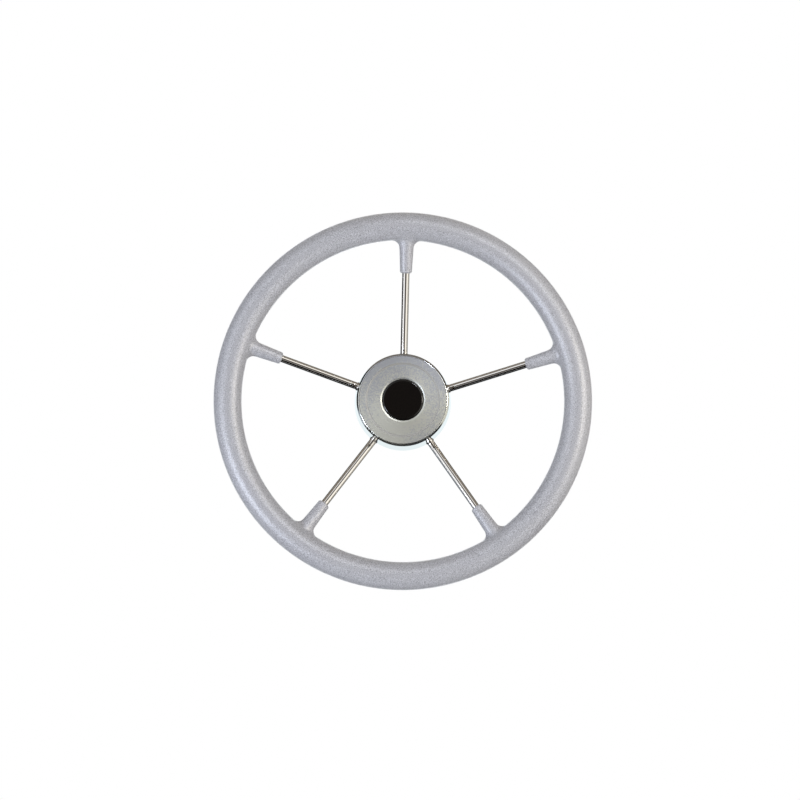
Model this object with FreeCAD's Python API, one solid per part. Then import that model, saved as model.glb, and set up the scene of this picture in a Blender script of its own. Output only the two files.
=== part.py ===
import FreeCAD, Part
import math
import os

from FreeCAD import Placement, Rotation, Vector

# Boat steering wheel, in millimetres.
# The wheel stands upright: its shaft axis is Y, the helmsman's side is -Y and the first spoke points up, +Z.
# The origin is the centre of the hub's rear face, at the large end of the tapered shaft bore.

# Whole wheel
wheel_diameter = 360.0      # over the grip
spoke_count = 5
hub_depth = 46.0            # rear face of the boss to the edge of the cap's face
rim_setback = 7.5           # edge of the cap's face back to the middle plane of the rim

# Rim: foam grip moulded over a bent steel bar
grip_diameter = 26.6
core_diameter = 10.0
moulding_gap = 0.1          # foam to steel, all round

# Spokes: round rods that lean forward from the hub to the rim
spoke_diameter = 7.0
spoke_lean = 12.0           # degrees out of the plane of the wheel
weld_gap = 0.05             # rod to what it is welded to
weld_width = 0.6            # bead beside the rod
weld_height = 0.9           # bead above the drum
weld_round = 0.4

# Sleeves: tapered sockets of the grip round the outer end of each spoke
sleeve_root_diameter = 14.3
sleeve_end_diameter = 11.4
sleeve_length = 30.5        # beyond the inside of the rim
sleeve_blend = 7.0          # fillet into the rim
sleeve_end_round = 1.8

# Boss: turned core that sits on the shaft and holds the spokes
shaft_diameter = 19.05      # large end of the taper
taper_run = 12.0            # the shaft's diameter falls by one over this length
key_width = 4.8
key_depth = 2.4             # keyway floor beyond the bore's wall
nut_recess_diameter = 34.0
nut_recess_depth = 10.0
barrel_diameter = 41.0
barrel_length = 36.0        # rear face to the front of the nut recess
flange_diameter = 68.0
flange_thickness = 11.0
flange_fillet = 3.0
spigot_diameter = 38.0
spigot_length = 5.0         # through the drum's floor and proud of it
socket_depth = 6.0          # measured in from the flange's edge
boss_chamfer = 0.8

# Drum: polished bell round the boss, wider at the rear
drum_mouth_diameter = 86.0
drum_rear_diameter = 94.0
drum_wall = 2.0
drum_floor = 2.0
drum_corner = 6.0
drum_lip_round = 0.4
mouth_land = 12.0           # straight bore behind the mouth, for the cap's plug
mouth_wall = 2.6
floor_clearance = 0.1       # drum floor round the spigot
spoke_clearance = 0.1       # drum wall round each spoke

# Cap: pulls off forward to reach the shaft nut
cap_diameter = 88.0
cap_edge_height = 4.5
cap_bevel_width = 1.7       # along the face, from the cap's edge
cap_bevel_depth = 2.2       # down the edge
cap_bevel_round = 1.2       # face into bevel
cap_edge_round = 1.0        # bevel into edge
cap_rear_round = 0.5
cap_wall = 2.4
cap_crown = 0.6
cap_step_diameter = 69.6    # the face lies a little deeper inside this circle
cap_step_depth = 0.3
cap_step_tilt = 18.0        # degrees, the step's wall from the face
plug_depth = 8.5
plug_wall = 4.0
plug_clearance = 0.3        # plug in the drum's mouth
plug_chamfer = 0.8

# Seal: rubber ring in a groove of the plug
seal_section = 2.4
seal_clearance = 0.05       # ring to the mouth, and ring to the groove's floor
groove_side = 0.15
groove_setback = 3.4        # cap seat to the middle of the groove

# Badge: domed disc in a shallow seat with a flared edge
badge_diameter = 39.4
badge_edge_height = 2.3
badge_crown = 0.7
badge_edge_round = 2.1
badge_clearance = 0.15
badge_seat_depth = 1.2      # below the edge of the cap's face
seat_flare_depth = 0.35     # start of the flare below the edge of the cap's face
seat_flare_tilt = 20.0      # degrees, the flare's wall from the face

# Derived sizes and places
ORIGIN = Vector(0, 0, 0)
UP = Vector(0, 0, 1)
REARWARD = Vector(0, 1, 0)
FORWARD = Vector(0, -1, 0)
spoke_step = 360.0 / spoke_count
grip_radius = grip_diameter / 2
spoke_radius = spoke_diameter / 2
rim_radius = wheel_diameter / 2 - grip_radius
lean = math.radians(spoke_lean)
cap_face = -hub_depth
cap_seat = cap_face + cap_edge_height
cap_radius = cap_diameter / 2
bevel_radius = cap_radius - cap_bevel_width
bevel_tilt = math.atan2(cap_bevel_depth, cap_bevel_width)
face_radius = bevel_radius - cap_bevel_round * math.tan(bevel_tilt / 2)
rim_plane = cap_face + rim_setback
rim_centre = Vector(0, rim_plane, 0)
spoke_origin = Vector(0, rim_plane + rim_radius * math.tan(lean), 0)
spoke_direction = Vector(0, -math.sin(lean), math.cos(lean))
flange_radius = flange_diameter / 2
spigot_radius = spigot_diameter / 2
barrel_radius = barrel_diameter / 2
flange_back = -spigot_length
flange_front = flange_back - flange_thickness
barrel_front = -barrel_length
recess_floor = barrel_front + nut_recess_depth
floor_inside = flange_back
floor_outside = floor_inside + drum_floor
mouth_radius = drum_mouth_diameter / 2
drum_rear_radius = drum_rear_diameter / 2
land_radius = mouth_radius - mouth_wall
land_end = cap_seat + mouth_land
plug_radius = land_radius - plug_clearance
plug_back = cap_seat + plug_depth
groove_middle = cap_seat + groove_setback
groove_half = seal_section / 2 + groove_side
seal_radius = land_radius - seal_clearance - seal_section / 2
groove_radius = seal_radius - seal_section / 2 - seal_clearance
badge_radius = badge_diameter / 2
badge_seat = cap_face + badge_seat_depth
seat_radius = badge_radius + badge_clearance


def length_along_spoke(from_axis):
    """Distance along a spoke's line to a distance from the wheel's axis."""
    return from_axis / math.cos(lean)


def corner_arc(before, corner, after, radius):
    """Start, middle and end of the arc that rounds a corner of an outline."""
    back = (before - corner).normalize()
    ahead = (after - corner).normalize()
    half_angle = back.getAngle(ahead) / 2
    inward = (back + ahead).normalize()
    run = radius / math.tan(half_angle)
    cut = radius / math.sin(half_angle) - radius
    return corner + back * run, corner + inward * cut, corner + ahead * run


def outline(corners):
    """Closed face in the XZ plane from corners: radius, height and rounding."""
    points = [Vector(radius, 0, height) for radius, height, _ in corners]
    stops = []
    edges = []
    for index, (_, _, rounding) in enumerate(corners):
        point = points[index]
        following = points[(index + 1) % len(points)]
        if rounding > 0:
            start, middle, end = corner_arc(points[index - 1], point, following, rounding)
            edges.append(Part.Arc(start, middle, end).toShape())
            stops.append((start, end))
        else:
            stops.append((point, point))
    for index, (_, leaves) in enumerate(stops):
        arrives = stops[(index + 1) % len(stops)][0]
        edges.append(Part.LineSegment(leaves, arrives).toShape())
    return Part.Face(Part.Wire(Part.__sortEdges__(edges)))


def turned(corners):
    """Solid turned about Z from corners: radius, height and rounding."""
    return outline(corners).revolve(ORIGIN, UP, 360)


def laid_along(shape, origin, direction):
    """The shape with its Z axis laid along a direction from an origin."""
    placed = shape.copy()
    placed.Placement = Placement(origin, Rotation(UP, direction))
    return placed


def turned_on_shaft(corners):
    """Solid turned about the wheel's axis; heights count from the hub's rear face, rearward."""
    return laid_along(turned(corners), ORIGIN, REARWARD)


def turned_on_spoke(corners):
    """Solid turned about the first spoke's line; heights count outward from the wheel's axis."""
    return laid_along(turned(corners), spoke_origin, spoke_direction)


def bar_on_spoke(radius, start, end):
    """Cylinder on the first spoke's line between two distances along it."""
    return Part.makeCylinder(radius, end - start, spoke_origin + spoke_direction * start, spoke_direction)


def bar_on_shaft(radius, start, end):
    """Cylinder on the wheel's axis between two depths."""
    return Part.makeCylinder(radius, end - start, Vector(0, start, 0), REARWARD)


def flare_on_shaft(radius, level, tilt, start, end):
    """Cone on the wheel's axis that widens forward from start to end, with a given radius at one level."""
    slope = 1 / math.tan(math.radians(tilt))
    narrow = radius + (level - start) * slope
    wide = radius + (level - end) * slope
    return Part.makeCone(narrow, wide, start - end, Vector(0, start, 0), FORWARD)


def at_every_spoke(shape):
    """Copies of a shape, made for the first spoke, turned to every spoke."""
    copies = []
    for index in range(spoke_count):
        copy = shape.copy()
        copy.rotate(ORIGIN, REARWARD, index * spoke_step)
        copies.append(copy)
    return copies


def ring_in_rim(radius):
    """Ring of round section on the rim's centre line, its seam half-way between two spokes."""
    ring = Part.makeTorus(rim_radius, radius, rim_centre, REARWARD)
    ring.rotate(ORIGIN, REARWARD, spoke_step / 2)
    return ring


def dome(radius, rise, base):
    """Shallow dome on the wheel's axis that bulges forward from its base plane."""
    ball_radius = (radius ** 2 + rise ** 2) / (2 * rise)
    ball = Part.makeSphere(ball_radius, Vector(0, base - rise + ball_radius, 0))
    return ball.common(bar_on_shaft(radius, base - 2 * rise, base))


def single(shape):
    """The one solid of a result."""
    return shape.removeSplitter().Solids[0]


def distance_to_rim_line(point):
    """Distance from a point to the circle at the middle of the rim."""
    return math.hypot(math.hypot(point.x, point.z) - rim_radius, point.y - rim_plane)


def spoke_bores(clearance, start, end):
    """Cutters for the five spokes with a clearance all round."""
    return at_every_spoke(bar_on_spoke(spoke_radius + clearance, start, end))


def make_rim_core():
    """Steel bar bent into a ring, its ends welded together."""
    return ring_in_rim(core_diameter / 2)


def make_rim_grip():
    """Foam skin of the rim and its five spoke sleeves, moulded in one over the steel."""
    inside_of_rim = rim_radius - grip_radius
    end = length_along_spoke(inside_of_rim - sleeve_length)
    root = length_along_spoke(inside_of_rim)
    inner_end = length_along_spoke(rim_radius)
    end_radius = sleeve_end_diameter / 2
    taper = (sleeve_root_diameter / 2 - end_radius) / (root - end)
    sleeve = turned_on_spoke([
        (0, end, 0),
        (end_radius, end, sleeve_end_round),
        (end_radius + taper * (inner_end - end), inner_end, 0),
        (0, inner_end, 0),
    ])
    body = single(ring_in_rim(grip_radius).fuse(at_every_spoke(sleeve)))
    meeting_edges = []
    for edge in body.Edges:
        on_rim = abs(distance_to_rim_line(edge.valueAt(edge.FirstParameter)) - grip_radius) < 0.01
        if on_rim and not isinstance(edge.Curve, Part.Circle):
            meeting_edges.append(edge)
    body = body.makeFillet(sleeve_blend, meeting_edges)
    body = body.cut(ring_in_rim(core_diameter / 2 + moulding_gap))
    return single(body.cut(spoke_bores(moulding_gap, end - sleeve_end_round, inner_end)))


def drum_outside():
    """The drum's outer form, filled."""
    return turned_on_shaft([
        (0, cap_seat, 0),
        (mouth_radius, cap_seat, drum_lip_round),
        (drum_rear_radius, floor_outside, drum_corner),
        (0, floor_outside, 0),
    ])


def make_spoke():
    """Rod from its socket in the boss to the core, with the weld bead where it leaves the drum."""
    start = length_along_spoke(flange_radius - socket_depth)
    end = length_along_spoke(rim_radius)
    rod = bar_on_spoke(spoke_radius, start, end)
    rod = single(rod.cut(ring_in_rim(core_diameter / 2 + weld_gap)))
    wall = length_along_spoke(mouth_radius)
    flare = (drum_rear_radius - mouth_radius) / (floor_outside - cap_seat)
    meets = spoke_origin.y - mouth_radius * math.tan(lean)
    surface = length_along_spoke(mouth_radius + flare * (meets - cap_seat))
    bead = turned_on_spoke([
        (0, wall, 0),
        (spoke_radius + weld_width, wall, 0),
        (spoke_radius + weld_width, surface + weld_height, weld_round),
        (0, surface + weld_height, 0),
    ])
    bead = single(bead.cut(drum_outside()))
    return single(rod.fuse(bead))


def make_hub_boss():
    """Turned core with the tapered, keyed shaft bore, the nut's recess and five spoke sockets."""
    bore_radius = shaft_diameter / 2
    boss = turned_on_shaft([
        (0, barrel_front, 0),
        (barrel_radius, barrel_front, boss_chamfer),
        (barrel_radius, flange_front, flange_fillet),
        (flange_radius, flange_front, boss_chamfer),
        (flange_radius, flange_back, 0),
        (spigot_radius, flange_back, 0),
        (spigot_radius, 0, boss_chamfer),
        (0, 0, 0),
    ])
    recess_radius = bore_radius + recess_floor / taper_run / 2
    taper = turned_on_shaft([
        (0, recess_floor - 1, 0),
        (recess_radius, recess_floor - 1, 0),
        (recess_radius, recess_floor, 0),
        (bore_radius, 0, 0),
        (bore_radius, 1, 0),
        (0, 1, 0),
    ])
    keyway = Part.makeBox(key_width, -recess_floor + 2, bore_radius + key_depth,
                          Vector(-key_width / 2, recess_floor - 1, 0))
    boss = boss.cut([taper, keyway, bar_on_shaft(nut_recess_diameter / 2, barrel_front - 1, recess_floor)])
    sockets = spoke_bores(weld_gap, length_along_spoke(flange_radius - socket_depth),
                          length_along_spoke(flange_radius + socket_depth))
    return single(boss.cut(sockets))


def make_hub_drum():
    """Spun bell with a straight land in its mouth, a floor on the boss and five spoke holes."""
    flare = (drum_rear_radius - mouth_radius) / (floor_outside - cap_seat)
    inside_rear = mouth_radius + flare * (floor_inside - cap_seat) - drum_wall
    inside_front = mouth_radius + flare * (land_end + mouth_wall - cap_seat) - drum_wall
    hollow = turned_on_shaft([
        (0, cap_seat - 1, 0),
        (land_radius, cap_seat - 1, 0),
        (land_radius, land_end, 0),
        (inside_front, land_end + mouth_wall, 0),
        (inside_rear, floor_inside, drum_corner - drum_wall),
        (0, floor_inside, 0),
    ])
    drum = drum_outside().cut(hollow)
    drum = drum.cut(bar_on_shaft(spigot_radius + floor_clearance, floor_inside - 1, floor_outside + 1))
    return single(drum.cut(spoke_bores(spoke_clearance, length_along_spoke(flange_radius),
                                       length_along_spoke(drum_rear_radius + drum_wall))))


def make_hub_cap():
    """Turned cap: crowned face with a low step, bevelled edge, flared badge seat and a grooved plug."""
    face_back = cap_face + cap_wall
    clear_of_face = cap_face - 2 * cap_crown
    step_floor = cap_face + cap_step_depth
    flare_start = cap_face + seat_flare_depth
    cap = turned_on_shaft([
        (0, cap_face, 0),
        (bevel_radius, cap_face, cap_bevel_round),
        (cap_radius, cap_face + cap_bevel_depth, cap_edge_round),
        (cap_radius, cap_seat, cap_rear_round),
        (plug_radius, cap_seat, 0),
        (plug_radius, groove_middle - groove_half, 0),
        (groove_radius, groove_middle - groove_half, 0),
        (groove_radius, groove_middle + groove_half, 0),
        (plug_radius, groove_middle + groove_half, 0),
        (plug_radius, plug_back, plug_chamfer),
        (plug_radius - plug_wall, plug_back, 0),
        (plug_radius - plug_wall, face_back, cap_rear_round),
        (0, face_back, 0),
    ])
    cap = cap.fuse(dome(face_radius, cap_crown, cap_face))
    step = flare_on_shaft(cap_step_diameter / 2, cap_face, cap_step_tilt, step_floor, clear_of_face)
    step = step.cut(dome(face_radius, cap_crown, step_floor))
    seat = bar_on_shaft(seat_radius, clear_of_face, badge_seat)
    flare = flare_on_shaft(seat_radius, flare_start, seat_flare_tilt, flare_start, clear_of_face)
    return single(cap.cut([step, seat, flare]))


def make_cap_seal():
    """Rubber ring in the plug's groove."""
    return Part.makeTorus(seal_radius, seal_section / 2, Vector(0, groove_middle, 0), REARWARD)


def make_badge():
    """Plain domed disc, bonded into the cap's seat."""
    edge_top = badge_seat - badge_edge_height
    disc = bar_on_shaft(badge_radius, edge_top, badge_seat)
    badge = single(disc.fuse(dome(badge_radius, badge_crown, edge_top)))
    shoulder = [edge for edge in badge.Edges if abs(edge.CenterOfMass.y - edge_top) < 0.01]
    return badge.makeFillet(badge_edge_round, shoulder)


parts = {
    "rim_core": make_rim_core(),
    "rim_grip": make_rim_grip(),
    "hub_boss": make_hub_boss(),
    "hub_drum": make_hub_drum(),
    "hub_cap": make_hub_cap(),
    "cap_seal": make_cap_seal(),
    "badge": make_badge(),
}
for number, spoke in enumerate(at_every_spoke(make_spoke()), start=1):
    parts[f"spoke_{number}"] = spoke

os.makedirs("parts", exist_ok=True)
for node, shape in parts.items():
    shape.exportStep(f"parts/{node}.step")
    print(f"{node}: {len(shape.Solids)} solid, {len(shape.Faces)} faces, {shape.Volume / 1000:.1f} cm3, "
          f"valid {shape.isValid()}")
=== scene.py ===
import math

import bmesh
import bpy
from mathutils import Matrix, Vector


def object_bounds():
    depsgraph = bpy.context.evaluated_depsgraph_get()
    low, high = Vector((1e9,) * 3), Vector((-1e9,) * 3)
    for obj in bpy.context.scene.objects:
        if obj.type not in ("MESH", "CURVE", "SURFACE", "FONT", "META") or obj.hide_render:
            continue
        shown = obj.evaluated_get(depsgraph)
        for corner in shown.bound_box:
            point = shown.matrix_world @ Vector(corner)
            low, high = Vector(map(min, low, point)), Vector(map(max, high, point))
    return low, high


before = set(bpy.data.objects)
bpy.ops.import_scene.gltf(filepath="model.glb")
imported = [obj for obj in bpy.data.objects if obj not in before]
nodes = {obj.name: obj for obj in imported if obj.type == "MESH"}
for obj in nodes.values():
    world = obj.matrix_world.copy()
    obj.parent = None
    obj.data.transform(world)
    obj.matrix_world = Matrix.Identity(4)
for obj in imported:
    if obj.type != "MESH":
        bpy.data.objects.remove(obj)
cad_low, cad_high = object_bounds()

# Lengths are metres, angles degrees. The wheel's axis is Y and its helmsman's side is -Y.
MM = 0.001
spoke_names = sorted(name for name in nodes if name.startswith("spoke_"))

# Cap: the satin face ends at the buffed edge, and the faint tapered step lies further in
cap_radius = nodes["hub_cap"].dimensions.x / 2
edge_width = 2.7 * MM
edge_blend = 0.6 * MM
step_outside = cap_radius - 8.7 * MM
step_width = 1.6 * MM
step_blend = 0.4 * MM

# Foam: the real grain is about 0.5 mm, too fine to show, so it is drawn a little coarser
grain_width = 0.75 * MM
pebble_width = 1.4 * grain_width

# Noise patterns: nearly all their values lie between these
noise_low = 0.3
noise_high = 0.7

# Studio: a floor far below the wheel, and how much brighter than white its reflected cards are
floor_height = cad_low.z - 0.9
floor_reach = 6.0
card_strength = 1.5

# Camera: the photograph's frame, its angle and the scale that it shows the wheel at
photo_size = 800
wheel_at_pixel = (402.8, 401.3)
pixels_per_mm = 1.0465
camera_distance = 2.5
camera_elevation = -4.0
camera_roll = 1.39
sensor_width = 36.0
aim = Vector((0, -26 * MM, 0))


def linear(hex_colour):
    """Linear colour from an sRGB hex value."""
    channels = []
    for start in (1, 3, 5):
        value = int(hex_colour[start:start + 2], 16) / 255
        channels.append(value / 12.92 if value <= 0.04045 else ((value + 0.055) / 1.055) ** 2.4)
    return (*channels, 1.0)


def add(tree, kind, inputs=None, links=None, **settings):
    """Adds a node with its settings, the constants on its sockets and the sockets that feed it."""
    node = tree.nodes.new(kind)
    for name, value in settings.items():
        setattr(node, name, value)
    for name, value in (inputs or {}).items():
        node.inputs[name].default_value = value
    for name, socket in (links or {}).items():
        tree.links.new(socket, node.inputs[name])
    return node


def mask(tree, *limits):
    """Smooth mask: 1 where every value has passed from its first limit to its second, 0 where any has not."""
    result = None
    for value, outside, inside in limits:
        passed = add(tree, "ShaderNodeMapRange", {"From Min": outside, "From Max": inside},
                     {"Value": value}, interpolation_type="SMOOTHSTEP").outputs[0]
        if result is None:
            result = passed
        else:
            result = add(tree, "ShaderNodeMath", links={0: result, 1: passed},
                         operation="MULTIPLY").outputs[0]
    return result


def layers(tree, table):
    """Colours laid over each other in order, each within its own limits."""
    result = None
    for colour, limits in table:
        if result is None:
            result = add(tree, "ShaderNodeRGB").outputs[0]
            result.default_value = linear(colour)
        else:
            result = add(tree, "ShaderNodeMix", {"B": linear(colour)},
                         {"Factor": mask(tree, *limits), "A": result}, data_type="RGBA").outputs[2]
    return result


def new_material(name):
    """Empty node material and its tree."""
    material = bpy.data.materials.new(name)
    material.use_nodes = True
    material.node_tree.nodes.clear()
    return material, material.node_tree


def finish_material(tree, shader):
    """Leads a shader to the material's surface."""
    add(tree, "ShaderNodeOutputMaterial", links={"Surface": shader.outputs[0]})


def moulded_foam_skin():
    """Self-skinning polyurethane foam: soft satin grey whose pebble grain from the mould glitters faintly."""
    material, tree = new_material("moulded_polyurethane_skin")
    place = add(tree, "ShaderNodeTexCoord").outputs["Object"]
    pebble = add(tree, "ShaderNodeTexVoronoi", {"Scale": 1 / pebble_width}, {"Vector": place})
    speckle = add(tree, "ShaderNodeTexNoise", {"Scale": 1 / grain_width, "Detail": 1.0}, {"Vector": place})
    cloud = add(tree, "ShaderNodeTexNoise", {"Scale": 1 / (35 * MM), "Detail": 3.0}, {"Vector": place})
    tone = add(tree, "ShaderNodeMapRange", {"From Min": noise_low, "From Max": noise_high},
               {"Value": speckle.outputs["Fac"]})
    fine = add(tree, "ShaderNodeMix", {"A": linear("#86868A"), "B": linear("#D9D9DE")},
               {"Factor": tone.outputs[0]}, data_type="RGBA").outputs[2]
    patch = add(tree, "ShaderNodeMapRange", {"From Min": 0.35, "From Max": 0.75, "To Max": 0.35},
                {"Value": cloud.outputs["Fac"]})
    broad = add(tree, "ShaderNodeMix", {"B": linear("#BABABD")}, {"Factor": patch.outputs[0], "A": fine},
                data_type="RGBA").outputs[2]
    gloss = add(tree, "ShaderNodeMapRange",
                {"From Min": noise_low, "From Max": noise_high, "To Min": 0.26, "To Max": 0.38},
                {"Value": speckle.outputs["Fac"]})
    relief = add(tree, "ShaderNodeBump", {"Strength": 0.8, "Distance": 0.22 * MM},
                 {"Height": pebble.outputs["Distance"]})
    skin = add(tree, "ShaderNodeBsdfPrincipled",
               {"IOR": 1.5, "Specular IOR Level": 0.8, "Coat Weight": 0.8, "Coat Roughness": 0.4,
                "Sheen Weight": 1.0, "Sheen Roughness": 0.3},
               {"Base Color": broad, "Roughness": gloss.outputs[0], "Normal": relief.outputs[0]})
    finish_material(tree, skin)
    return material


def polished_stainless():
    """Stainless steel buffed to a mirror: sharp dark and white streaks, slightly wavy from the buffing."""
    material, tree = new_material("polished_stainless_steel")
    place = add(tree, "ShaderNodeTexCoord").outputs["Object"]
    buffing = add(tree, "ShaderNodeTexNoise", {"Scale": 1 / (9 * MM), "Detail": 2.0}, {"Vector": place})
    haze = add(tree, "ShaderNodeTexNoise", {"Scale": 1 / (2.5 * MM), "Detail": 4.0}, {"Vector": place})
    gloss = add(tree, "ShaderNodeMapRange",
                {"From Min": noise_low, "From Max": noise_high, "To Min": 0.03, "To Max": 0.06},
                {"Value": haze.outputs["Fac"]})
    relief = add(tree, "ShaderNodeBump", {"Strength": 0.03, "Distance": 0.05 * MM},
                 {"Height": buffing.outputs["Fac"]})
    steel = add(tree, "ShaderNodeBsdfPrincipled", {"Base Color": linear("#D6D4D0"), "Metallic": 1.0},
                {"Roughness": gloss.outputs[0], "Normal": relief.outputs[0]})
    finish_material(tree, steel)
    return material


def turned_stainless():
    """Stainless steel turned on a lathe: a satin face that spreads light in soft wedges, with painted
    reflections in its colour, cool in one broad patch and warm in the next, and a buffed bevel that shows
    sharp dark and white lines."""
    material, tree = new_material("turned_satin_stainless_steel")
    place = add(tree, "ShaderNodeTexCoord").outputs["Object"]
    x, y, z = add(tree, "ShaderNodeSeparateXYZ", links={"Vector": place}).outputs
    flat = add(tree, "ShaderNodeCombineXYZ", links={"X": x, "Y": z}).outputs[0]
    from_axis = add(tree, "ShaderNodeVectorMath", links={0: flat}, operation="LENGTH").outputs["Value"]
    step_inside = step_outside - step_width
    step = mask(tree, (from_axis, step_inside - step_blend, step_inside),
                (from_axis, step_outside + step_blend, step_outside))
    satin_outside = cap_radius - edge_width
    buffed = mask(tree, (from_axis, satin_outside, satin_outside + edge_blend))

    # The lathe's rings and the satin's grain are far finer than this, and drawn coarser, so that they show
    rings = add(tree, "ShaderNodeTexNoise", {"Scale": 1 / (0.5 * MM), "Detail": 3.0, "Roughness": 0.7},
                {"W": from_axis}, noise_dimensions="1D").outputs["Fac"]
    grain = add(tree, "ShaderNodeTexNoise", {"Scale": 1 / (1.2 * MM), "Detail": 2.0}, {"Vector": place})

    satin = add(tree, "ShaderNodeMapRange",
                {"From Min": noise_low, "From Max": noise_high, "To Min": 0.42, "To Max": 0.5},
                {"Value": rings}).outputs[0]
    coarse = add(tree, "ShaderNodeMix", {"B": 0.7}, {"Factor": step, "A": satin}).outputs[0]
    gloss = add(tree, "ShaderNodeMix", {"B": 0.13}, {"Factor": buffed, "A": coarse}).outputs[0]
    depth = add(tree, "ShaderNodeMapRange", {"To Min": 1.0, "To Max": 0.0}, {"Value": buffed}).outputs[0]
    relief = add(tree, "ShaderNodeBump", {"Distance": 0.01 * MM}, {"Height": rings, "Strength": depth})

    # Painted reflections: cool and warm patches, placed on the face by a shift of the pattern
    reflection_patch_shift = (40 * MM, 0.0, -20 * MM)
    shifted = add(tree, "ShaderNodeVectorMath", {1: reflection_patch_shift}, {0: place}, operation="ADD").outputs[0]
    painted_reflection_patches = add(tree, "ShaderNodeTexNoise", {"Scale": 1 / (60 * MM), "Detail": 1.0}, {"Vector": shifted})
    grain_and_painted_reflection = add(tree, "ShaderNodeMath", {1: 0.7}, {0: grain.outputs["Fac"], 2: painted_reflection_patches.outputs["Fac"]},
                  operation="MULTIPLY_ADD").outputs[0]
    painted_cool_reflection = mask(tree, (grain_and_painted_reflection, 0.73, 0.99))
    face = add(tree, "ShaderNodeMix", {"A": linear("#D7D9D0"), "B": linear("#BABEC4")}, {"Factor": painted_cool_reflection},
               data_type="RGBA").outputs[2]
    # Darker grey mixed into the step ring: painted shade in the recessed step
    tone = add(tree, "ShaderNodeMix", {"B": linear("#B2B2AF")}, {"Factor": step, "A": face},
               data_type="RGBA").outputs[2]
    round_axis = add(tree, "ShaderNodeTangent", direction_type="RADIAL", axis="Y")
    steel = add(tree, "ShaderNodeBsdfPrincipled",
                {"Metallic": 1.0, "Anisotropic": 0.2, "Anisotropic Rotation": 0.25},
                {"Base Color": tone, "Roughness": gloss, "Normal": relief.outputs[0],
                 "Tangent": round_axis.outputs[0]})
    finish_material(tree, steel)
    return material


def plain_stainless():
    """Stainless steel as it left the lathe or the drawing bench: grey, with faint tool marks."""
    material, tree = new_material("machined_stainless_steel")
    place = add(tree, "ShaderNodeTexCoord").outputs["Object"]
    marks = add(tree, "ShaderNodeTexNoise", {"Scale": 1 / (1.2 * MM), "Detail": 4.0}, {"Vector": place})
    gloss = add(tree, "ShaderNodeMapRange",
                {"From Min": noise_low, "From Max": noise_high, "To Min": 0.28, "To Max": 0.42},
                {"Value": marks.outputs["Fac"]})
    relief = add(tree, "ShaderNodeBump", {"Strength": 0.2, "Distance": 0.02 * MM},
                 {"Height": marks.outputs["Fac"]})
    steel = add(tree, "ShaderNodeBsdfPrincipled", {"Base Color": linear("#BDBBB7"), "Metallic": 1.0},
                {"Roughness": gloss.outputs[0], "Normal": relief.outputs[0]})
    finish_material(tree, steel)
    return material


def nitrile_rubber():
    """Moulded nitrile rubber: dull black with a faint bloom."""
    material, tree = new_material("moulded_nitrile_rubber")
    place = add(tree, "ShaderNodeTexCoord").outputs["Object"]
    bloom = add(tree, "ShaderNodeTexNoise", {"Scale": 1 / (3 * MM), "Detail": 3.0}, {"Vector": place})
    gloss = add(tree, "ShaderNodeMapRange",
                {"From Min": noise_low, "From Max": noise_high, "To Min": 0.45, "To Max": 0.62},
                {"Value": bloom.outputs["Fac"]})
    rubber = add(tree, "ShaderNodeBsdfPrincipled", {"Base Color": linear("#1B1B1B"), "IOR": 1.5},
                 {"Roughness": gloss.outputs[0]})
    finish_material(tree, rubber)
    return material


def domed_resin():
    """Doming resin over a black print: deep gloss black whose crown gathers small sharp lights."""
    material, tree = new_material("domed_black_resin")
    place = add(tree, "ShaderNodeTexCoord").outputs["Object"]
    settle = add(tree, "ShaderNodeTexNoise", {"Scale": 1 / (14 * MM), "Detail": 1.0}, {"Vector": place})
    dust = add(tree, "ShaderNodeTexNoise", {"Scale": 1 / (0.7 * MM), "Detail": 2.0}, {"Vector": place})
    gloss = add(tree, "ShaderNodeMapRange",
                {"From Min": 0.3, "From Max": 0.8, "To Min": 0.02, "To Max": 0.05},
                {"Value": dust.outputs["Fac"]})
    relief = add(tree, "ShaderNodeBump", {"Strength": 0.1, "Distance": 0.1 * MM},
                 {"Height": settle.outputs["Fac"]})
    resin = add(tree, "ShaderNodeBsdfPrincipled", {"Base Color": linear("#070504"), "IOR": 1.5},
                {"Roughness": gloss.outputs[0], "Normal": relief.outputs[0]})
    finish_material(tree, resin)
    return material


def dress(name, material):
    """Gives a CAD node its finish."""
    node = nodes[name]
    node.data.materials.clear()
    node.data.materials.append(material)


mirror = polished_stainless()
dress("rim_grip", moulded_foam_skin())
dress("hub_drum", mirror)
for spoke_name in spoke_names:
    dress(spoke_name, mirror)
dress("hub_cap", turned_stainless())
machined = plain_stainless()
dress("hub_boss", machined)
dress("rim_core", machined)
dress("cap_seal", nitrile_rubber())
dress("badge", domed_resin())


def make_floor():
    """Plain pale floor, well below the wheel: matt for the light that falls on it, white to the camera."""
    mesh = bmesh.new()
    bmesh.ops.create_grid(mesh, x_segments=1, y_segments=1, size=floor_reach)
    bmesh.ops.translate(mesh, verts=mesh.verts, vec=(0, 0, floor_height))
    data = bpy.data.meshes.new("floor")
    mesh.to_mesh(data)
    mesh.free()
    floor = bpy.data.objects.new("floor", data)
    bpy.context.scene.collection.objects.link(floor)
    material, tree = new_material("matt_white_floor")
    path = add(tree, "ShaderNodeLightPath")
    matt = add(tree, "ShaderNodeBsdfDiffuse", {"Color": linear("#E8E8E8")})
    glow = add(tree, "ShaderNodeEmission", {"Color": linear("#FFFFFF"), "Strength": 1.0})
    seen = add(tree, "ShaderNodeMixShader",
               links={0: path.outputs["Is Camera Ray"], 1: matt.outputs[0], 2: glow.outputs[0]})
    finish_material(tree, seen)
    data.materials.append(material)
    floor.visible_glossy = False


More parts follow.
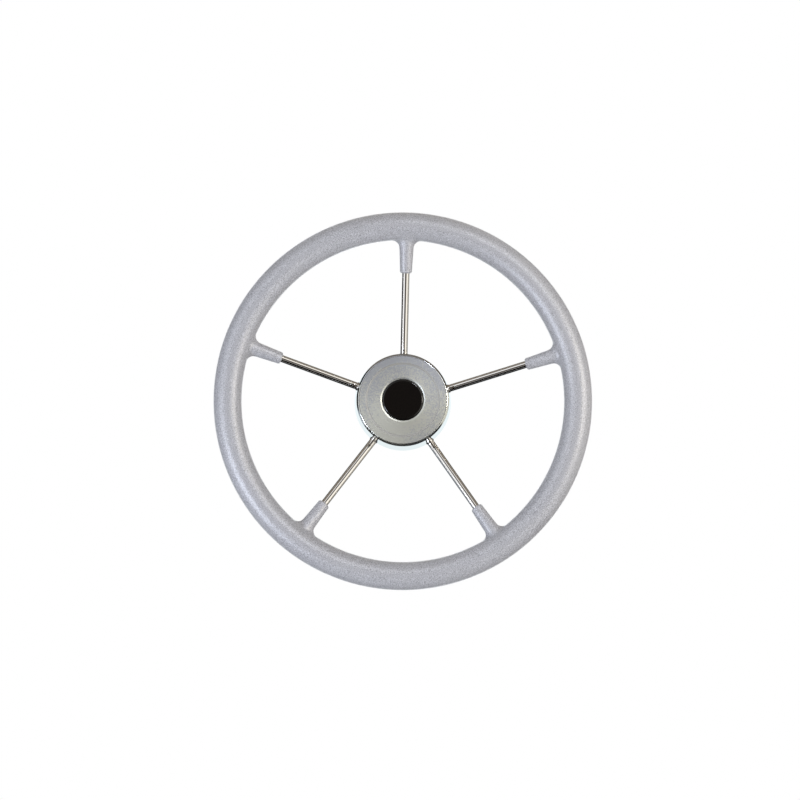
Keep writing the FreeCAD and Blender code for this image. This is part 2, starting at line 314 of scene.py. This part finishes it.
def make_world():
    """White behind the wheel, a dim studio with pale cards in reflections, soft fill light from behind."""
    world = bpy.data.worlds.new("studio")
    bpy.context.scene.world = world
    world.use_nodes = True
    tree = world.node_tree
    tree.nodes.clear()
    direction = add(tree, "ShaderNodeTexCoord").outputs["Generated"]
    x, y, z = add(tree, "ShaderNodeSeparateXYZ", links={"Vector": direction}).outputs
    rightward = (x, -0.3, 0.9)
    tent = ((y, -0.88, -0.85), (y, -0.22, -0.38), (z, -0.56, -0.44))
    beside = ((y, 0.04, 0.12), (y, 0.44, 0.36))
    reflected = (
        # Dim studio, brown towards the right
        ("#0F0B09", ()),
        ("#4A3D2E", (rightward,)),
        # Grey gap in the tent that the camera looks through, and the dark floor
        ("#56504C", ((y, -0.83, -0.87),)),
        ("#0A0706", ((z, -0.36, -0.5),)),
        # White tent round the camera, warmer towards the right, with a dim opening overhead
        ("#F1F3F7", tent),
        ("#FFFAF0", (*tent, rightward)),
        ("#786F64", ((z, 0.55, 0.72),)),
        # Cards beside the hub, which its flared drum mirrors, and a pale one behind the wheel
        ("#D8D4CA", (*beside, (z, -0.48, -0.38), (z, 0.34, 0.2), (x, 0.7, 0.8))),
        ("#A9B2C0", (*beside, (z, -0.56, -0.46), (z, -0.12, -0.25), (x, -0.7, -0.8))),
        ("#D3DDE1", ((y, 0.84, 0.92),)),
    )
    fill = (
        # Even light, dimmer from the camera's side and strong from behind
        ("#B2B2B2", ()),
        ("#505050", ((y, -0.65, -0.5),)),
        ("#FFFFFF", ((y, -0.2, 0.05),)),
    )
    room, soft = (layers(tree, table) for table in (reflected, fill))
    cards = add(tree, "ShaderNodeVectorMath", {1: (card_strength,) * 3}, {0: room}, operation="MULTIPLY")
    path = add(tree, "ShaderNodeLightPath")
    lit = add(tree, "ShaderNodeMix", data_type="RGBA",
              links={"Factor": path.outputs["Is Glossy Ray"], "A": soft, "B": cards.outputs[0]})
    seen = add(tree, "ShaderNodeMix", {"B": linear("#FFFFFF")},
               {"Factor": path.outputs["Is Camera Ray"], "A": lit.outputs[2]}, data_type="RGBA")
    light = add(tree, "ShaderNodeBackground", links={"Color": seen.outputs[2]})
    add(tree, "ShaderNodeOutputWorld", links={"Surface": light.outputs[0]})


def softbox(name, azimuth, elevation, distance, width, height, power, colour):
    """Area lamp that faces the hub; azimuth counts from the helmsman's side towards +X."""
    lamp = bpy.data.lights.new(name, "AREA")
    lamp.shape = "RECTANGLE"
    lamp.size = width
    lamp.size_y = height
    lamp.energy = power
    lamp.color = linear(colour)[:3]
    stand = bpy.data.objects.new(name, lamp)
    bpy.context.scene.collection.objects.link(stand)
    turn, rise = math.radians(azimuth), math.radians(elevation)
    back = Vector((math.sin(turn) * math.cos(rise), -math.cos(turn) * math.cos(rise), math.sin(rise)))
    stand.location = aim + back * distance
    stand.rotation_mode = "QUATERNION"
    stand.rotation_quaternion = back.to_track_quat("Z", "Y")


def make_camera():
    """Camera at the photograph's angle, rolled as it was held, with the wheel at its place in the frame."""
    rise, roll = math.radians(camera_elevation), math.radians(camera_roll)
    forward = Vector((0, math.cos(rise), -math.sin(rise)))
    level_right = Vector((1, 0, 0))
    level_up = level_right.cross(forward)
    right = level_right * math.cos(roll) + level_up * math.sin(roll)
    up = level_up * math.cos(roll) - level_right * math.sin(roll)
    offset_right = (wheel_at_pixel[0] - photo_size / 2) / pixels_per_mm * MM
    offset_down = (wheel_at_pixel[1] - photo_size / 2) / pixels_per_mm * MM
    place = aim - forward * camera_distance - right * offset_right + up * offset_down
    data = bpy.data.cameras.new("camera")
    data.sensor_width = sensor_width
    view_width = photo_size / pixels_per_mm * MM
    data.lens = sensor_width * camera_distance / view_width
    camera = bpy.data.objects.new("camera", data)
    axes = Matrix((right, up, -forward)).transposed()
    camera.matrix_world = Matrix.Translation(place) @ axes.to_4x4()
    bpy.context.scene.collection.objects.link(camera)
    bpy.context.scene.camera = camera


make_floor()
make_world()
softbox("softbox_left", azimuth=-50, elevation=-21, distance=1.6, width=0.4, height=0.4,
        power=10, colour="#E2EAFC")
softbox("softbox_right", azimuth=52, elevation=6, distance=1.6, width=0.24, height=0.4,
        power=7, colour="#FFF9F0")
softbox("lamp_upper_right", azimuth=22, elevation=30, distance=2.5, width=0.5, height=0.16,
        power=11, colour="#F2F5FE")
make_camera()
bpy.context.scene.view_settings.view_transform = "Standard"
